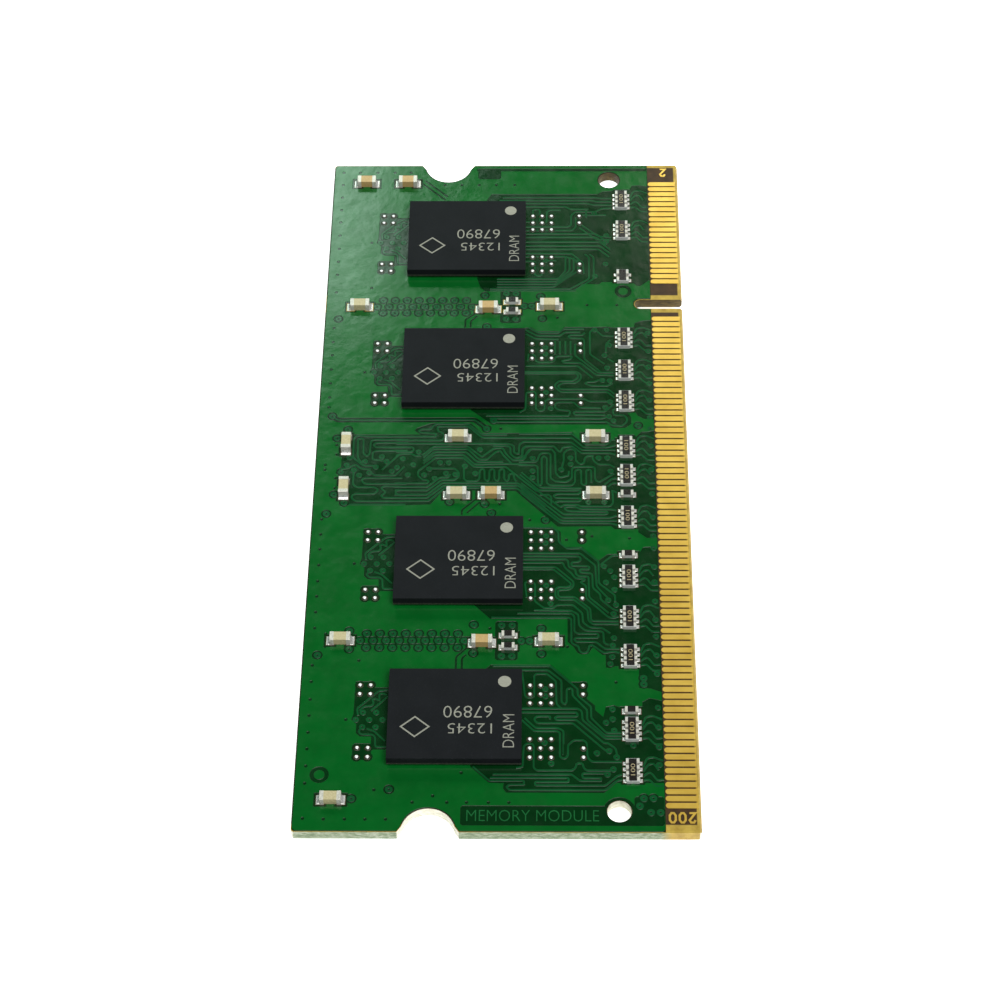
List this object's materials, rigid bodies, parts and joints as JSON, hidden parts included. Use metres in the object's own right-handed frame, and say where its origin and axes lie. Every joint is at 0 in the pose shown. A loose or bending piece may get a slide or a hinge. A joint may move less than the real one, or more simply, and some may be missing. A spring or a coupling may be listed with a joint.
{
  "type": "ram module",
  "caption": "Small-outline laptop memory module: notched green circuit board with a keyed row of gold edge contacts, black memory packages, chip capacitors and resistor arrays.",
  "frame": {"origin": "middle of the contact edge, half-way through the laminate", "axes": "+X along the board towards the end nearer the key slot, +Y across the board away from the contact edge, +Z out of the even-numbered contact face"},
  "size_m": [0.0676, 0.03, 0.0032],
  "materials": {
    "laminate": "glass-epoxy laminate, satin, woven glass showing at cut edges",
    "solder_mask": "green liquid solder mask, semi-gloss",
    "copper": "copper foil",
    "gold": "electroplated gold, bright",
    "mould": "black epoxy moulding compound, fine matt",
    "substrate": "dark package substrate, sawn edges",
    "silicon": "polished silicon",
    "ceramic_amber": "amber capacitor ceramic, fired",
    "ceramic_pale": "pale beige capacitor ceramic, fired",
    "alumina": "white alumina",
    "overcoat": "black glass overcoat",
    "solder": "reflowed tin solder, bright"
  },
  "bodies": {
    "root": {"board_laminate": "laminate", "capacitor_bodies_amber_even": "silicon", "capacitor_bodies_odd": "silicon", "capacitor_bodies_pale_even": "silicon", "capacitor_terminals_even": "solder", "capacitor_terminals_odd": "solder", "copper_lands_even": "copper", "copper_lands_odd": "copper", "edge_contacts_even": "gold", "edge_contacts_odd": "gold", "eeprom_case": "mould", "eeprom_die": "silicon", "eeprom_leads": "solder", "eeprom_paddle": "solder", "inner_ground_plane": "copper", "inner_power_plane": "copper", "memory_chip_1_balls": "solder", "memory_chip_1_mould": "mould", "memory_chip_1_substrate": "substrate", "memory_chip_2_balls": "solder", "memory_chip_2_mould": "mould", "memory_chip_2_substrate": "substrate", "memory_chip_3_balls": "solder", "memory_chip_3_mould": "mould", "memory_chip_3_substrate": "substrate", "memory_chip_4_balls": "solder", "memory_chip_4_mould": "mould", "memory_chip_4_substrate": "substrate", "memory_chip_5_balls": "solder", "memory_chip_5_mould": "mould", "memory_chip_5_substrate": "substrate", "memory_chip_6_balls": "solder", "memory_chip_6_mould": "mould", "memory_chip_6_substrate": "substrate", "memory_chip_7_balls": "solder", "memory_chip_7_mould": "mould", "memory_chip_7_substrate": "substrate", "memory_chip_8_balls": "solder", "memory_chip_8_mould": "mould", "memory_chip_8_substrate": "substrate", "memory_dies_even": "silicon", "memory_dies_odd": "silicon", "pin_number_marks_even": "gold", "pin_number_marks_odd": "gold", "resistor_bases_even": "alumina", "resistor_bases_odd": "alumina", "resistor_overcoats_even": "overcoat", "resistor_overcoats_odd": "overcoat", "resistor_terminals_even": "solder", "resistor_terminals_odd": "solder", "solder_joints_even": "solder", "solder_joints_odd": "solder", "solder_mask_even": "solder_mask", "solder_mask_odd": "solder_mask", "spare_land_domes_even": "solder", "spare_land_domes_odd": "solder"}
  },
  "joints": []
}
